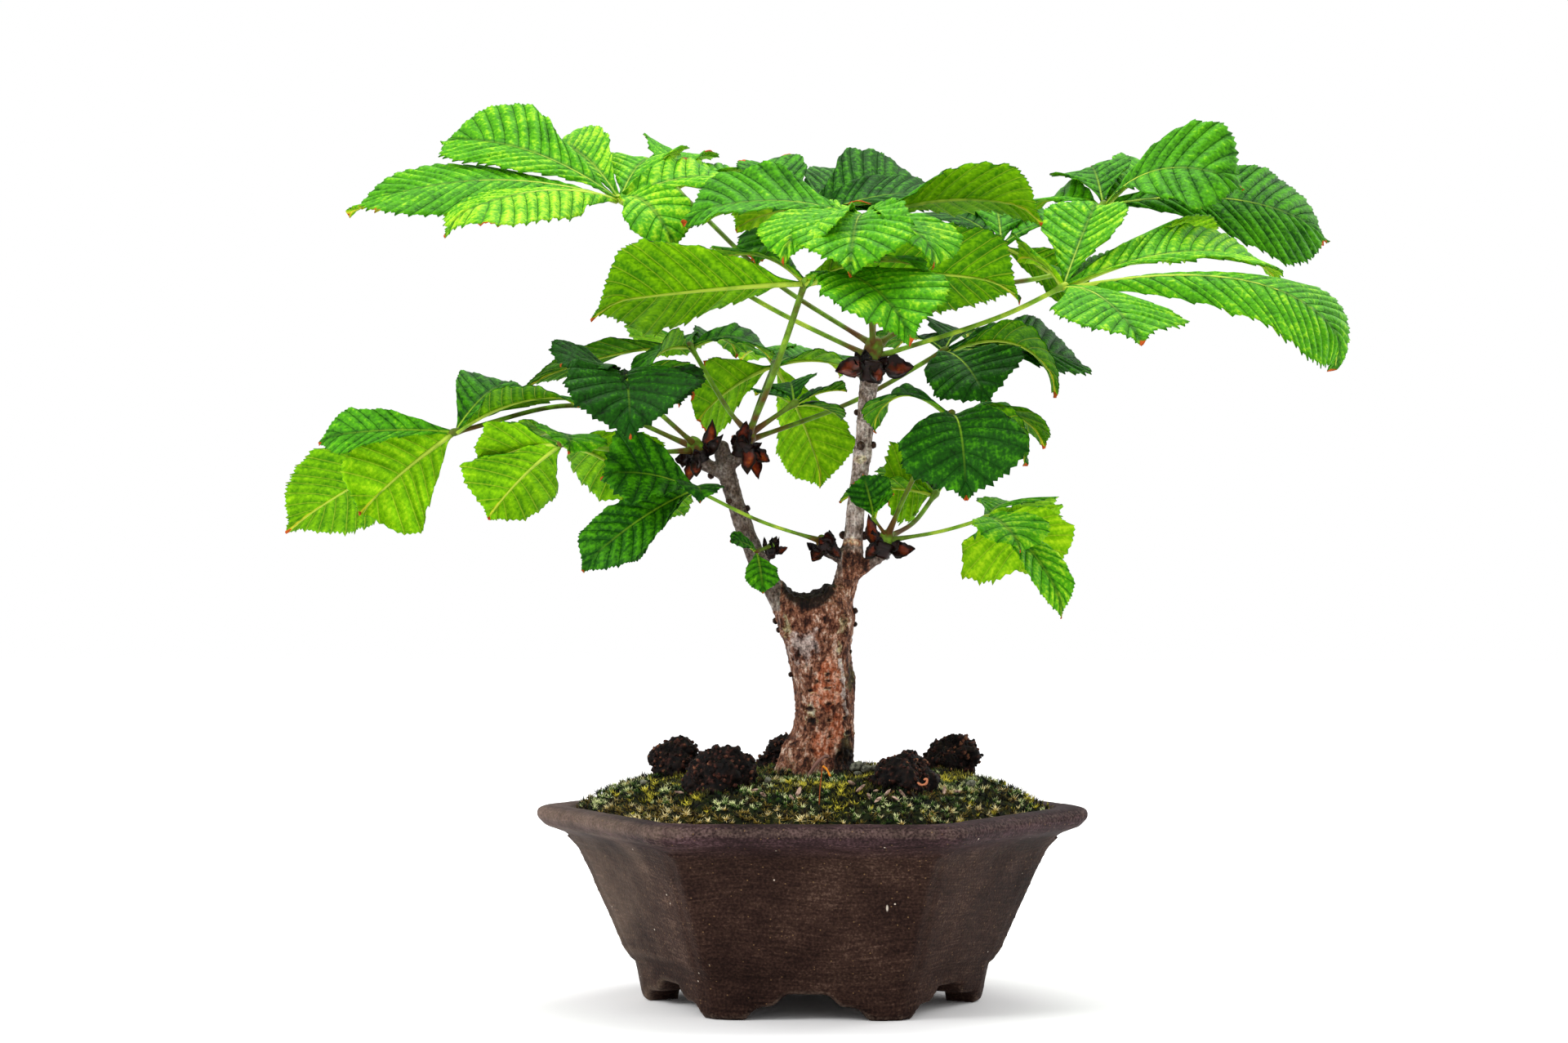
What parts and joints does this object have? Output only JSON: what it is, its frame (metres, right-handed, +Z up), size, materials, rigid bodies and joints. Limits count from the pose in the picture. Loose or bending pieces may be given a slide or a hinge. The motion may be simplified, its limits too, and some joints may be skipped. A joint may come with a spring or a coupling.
{
  "type": "potted bonsai tree",
  "caption": "Horse chestnut bonsai with a wide crown of hand-shaped leaves in a footed hexagonal clay pot.",
  "frame": {"origin": "bottom centre of the whole plant's bounding box, on the surface that the pot's feet stand on", "axes": "+Z up, +X along the crown's width, -Y towards the pot's wide front face"},
  "size_m": [0.4944, 0.2682, 0.4096],
  "materials": {
    "clay": "unglazed, dark brown, matte",
    "plastic": "matte",
    "soil": "soil with a mossy top",
    "bark": "reddish-brown bark",
    "scale": "thin, sticky, half gloss",
    "leaf": "thin, soft gloss",
    "cake": "rough and crumbly"
  },
  "bodies": {
    "root": {"pot": "clay", "drain_mesh": "plastic", "soil": "soil", "trunk": "bark", "scales_a": "scale", "scales_b_left": "scale", "scales_b_right": "scale", "scales_c": "scale", "scales_d": "scale", "scales_e": "scale", "leaf_a1": "leaf", "leaf_a2": "leaf", "leaf_a3": "leaf", "leaf_a4": "leaf", "leaf_a5": "leaf", "leaf_a6": "leaf", "leaf_a7": "leaf", "leaf_b1": "leaf", "leaf_b2": "leaf", "leaf_b3": "leaf", "leaf_b4": "leaf", "leaf_b5": "leaf", "leaf_b6": "leaf", "leaf_b7": "leaf", "leaf_b8": "leaf", "leaf_d1": "leaf", "leaf_c1": "leaf", "leaf_c2": "leaf", "leaf_c3": "leaf", "leaf_c4": "leaf", "leaf_e1": "leaf", "cake_back_left": "cake", "cake_front_left": "cake", "cake_back": "cake", "cake_front_right": "cake", "cake_back_right": "cake"}
  },
  "joints": []
}
